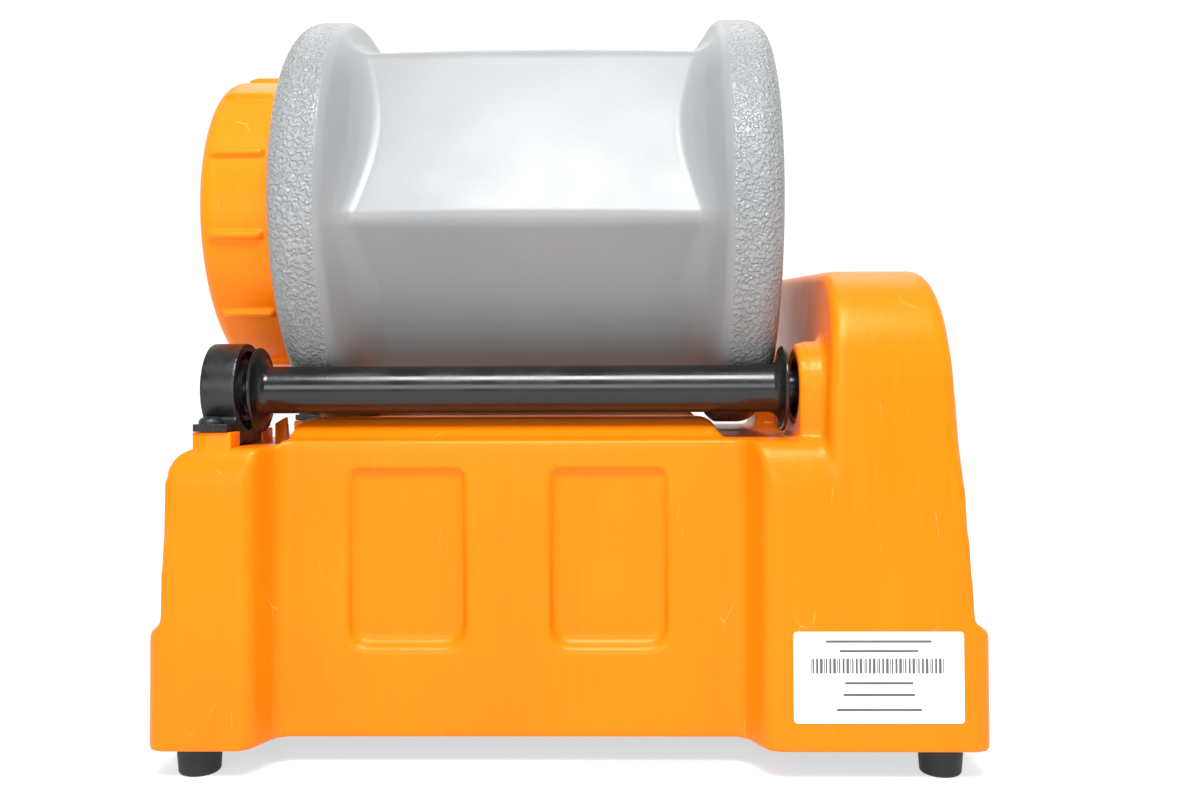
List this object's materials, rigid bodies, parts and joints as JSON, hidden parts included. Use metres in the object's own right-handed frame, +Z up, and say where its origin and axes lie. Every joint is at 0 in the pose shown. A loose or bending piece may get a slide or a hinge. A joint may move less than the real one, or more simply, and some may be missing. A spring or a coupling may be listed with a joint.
{
  "type": "rotary rock tumbler",
  "caption": "Bench rotary tumbler: a six-sided drum with a screw cap lies on two belt-driven rollers over a moulded base with a drive tower.",
  "frame": {"origin": "on the table under the middle of the base's footprint, in the plane of the feet's undersides", "axes": "+X along the drum's axis towards the drive tower, +Y towards the side with the controls, +Z up"},
  "size_m": [0.402, 0.2541, 0.394],
  "materials": {
    "orange_plastic": "moulded, satin gloss",
    "drum_plastic": "satin body, pebbled rims",
    "black_plastic": "fine moulded grain",
    "black_rubber": "smooth",
    "black_steel": "blackened",
    "zinc": "zinc plated",
    "steel": "ground",
    "copper": "enamelled wire",
    "smoked_plastic": "polished",
    "key_plastic": "matt",
    "circuit_board": "lacquered",
    "label_film": "satin film"
  },
  "bodies": {
    "base": {"base_housing": "orange_plastic", "bottom_cover": "black_plastic", "foot_front_left": "black_rubber", "foot_front_right": "black_rubber", "foot_rear_left": "black_rubber", "foot_rear_right": "black_rubber", "foot_screw_front_left": "zinc", "foot_screw_front_right": "zinc", "foot_screw_rear_left": "zinc", "foot_screw_rear_right": "zinc", "front_bearing_bracket": "black_plastic", "rear_bearing_bracket": "black_plastic", "bracket_screw_front_outer": "black_steel", "bracket_screw_front_inner": "black_steel", "bracket_screw_rear_outer": "black_steel", "bracket_screw_rear_inner": "black_steel", "front_left_bush": "black_plastic", "rear_left_bush": "black_plastic", "front_right_bush": "black_plastic", "rear_right_bush": "black_plastic", "drive_belt": "black_rubber", "motor_case": "zinc", "motor_stator": "steel", "motor_winding": "copper", "motor_cradle": "zinc", "motor_strap": "zinc", "strap_screw_front": "zinc", "strap_screw_rear": "zinc", "control_panel": "black_plastic", "display_window": "smoked_plastic", "control_board": "circuit_board", "switch_housing": "black_plastic", "cord_gland": "black_plastic", "label": "label_film"},
    "drum": {"drum_shell": "drum_plastic", "drum_liner": "black_rubber"},
    "seal": {"cap_seal": "black_rubber"},
    "cap": {"screw_cap": "orange_plastic"},
    "drive_roller": {"drive_roller_sleeve": "black_rubber", "drive_roller_shaft": "steel", "roller_pulley": "black_plastic"},
    "idler_roller": {"idler_roller_sleeve": "black_rubber", "idler_roller_shaft": "steel"},
    "rotor": {"motor_rotor": "steel", "motor_pulley": "steel", "cooling_fan": "black_plastic"},
    "start_key": {"start_button": "key_plastic"},
    "time_up_key": {"time_up_button": "key_plastic"},
    "time_down_key": {"time_down_button": "key_plastic"},
    "power_rocker": {"switch_rocker": "black_plastic"}
  },
  "joints": [
    {"name": "drum_spin", "type": "hinge", "parent": "base", "child": "drum", "pos_m": [-0.0207, 0, 0.28], "axis": [1, 0, 0], "continuous": true},
    {"name": "drive_roller_spin", "type": "hinge", "parent": "base", "child": "drive_roller", "pos_m": [-0.0249, -0.084, 0.18568], "axis": [1, 0, 0], "continuous": true},
    {"name": "idler_roller_spin", "type": "hinge", "parent": "base", "child": "idler_roller", "pos_m": [-0.0249, 0.084, 0.18568], "axis": [1, 0, 0], "continuous": true},
    {"name": "motor_spin", "type": "hinge", "parent": "base", "child": "rotor", "pos_m": [0.063, -0.02, 0.08], "axis": [1, 0, 0], "continuous": true},
    {"name": "cap_travel", "type": "slide", "parent": "drum", "child": "seal", "axis": [-1, 0, 0], "range_m": [0, 0.036]},
    {"name": "cap_turn", "type": "hinge", "parent": "seal", "child": "cap", "pos_m": [-0.17, 0, 0.28], "axis": [-1, 0, 0], "range_deg": [0, 540]},
    {"name": "start_key_press", "type": "slide", "parent": "base", "child": "start_key", "axis": [0, -0.9701, -0.2425], "range_m": [0, 0.0012], "stiffness_N_per_m": 300},
    {"name": "time_up_key_press", "type": "slide", "parent": "base", "child": "time_up_key", "axis": [0, -0.9701, -0.2425], "range_m": [0, 0.0012], "stiffness_N_per_m": 300},
    {"name": "time_down_key_press", "type": "slide", "parent": "base", "child": "time_down_key", "axis": [0, -0.9701, -0.2425], "range_m": [0, 0.0012], "stiffness_N_per_m": 300},
    {"name": "power_rocker_tilt", "type": "hinge", "parent": "base", "child": "power_rocker", "pos_m": [0.16, 0.12147, 0.128], "axis": [1, 0, 0], "range_deg": [-16, 0]}
  ],
  "couplings": [
    {"joint": "drive_roller_spin", "follows": "drum_spin", "ratio": -9.5},
    {"joint": "idler_roller_spin", "follows": "drum_spin", "ratio": -9.5},
    {"joint": "motor_spin", "follows": "drum_spin", "ratio": -28.5},
    {"joint": "cap_turn", "follows": "cap_travel", "rad_per_m": 261.8}
  ]
}
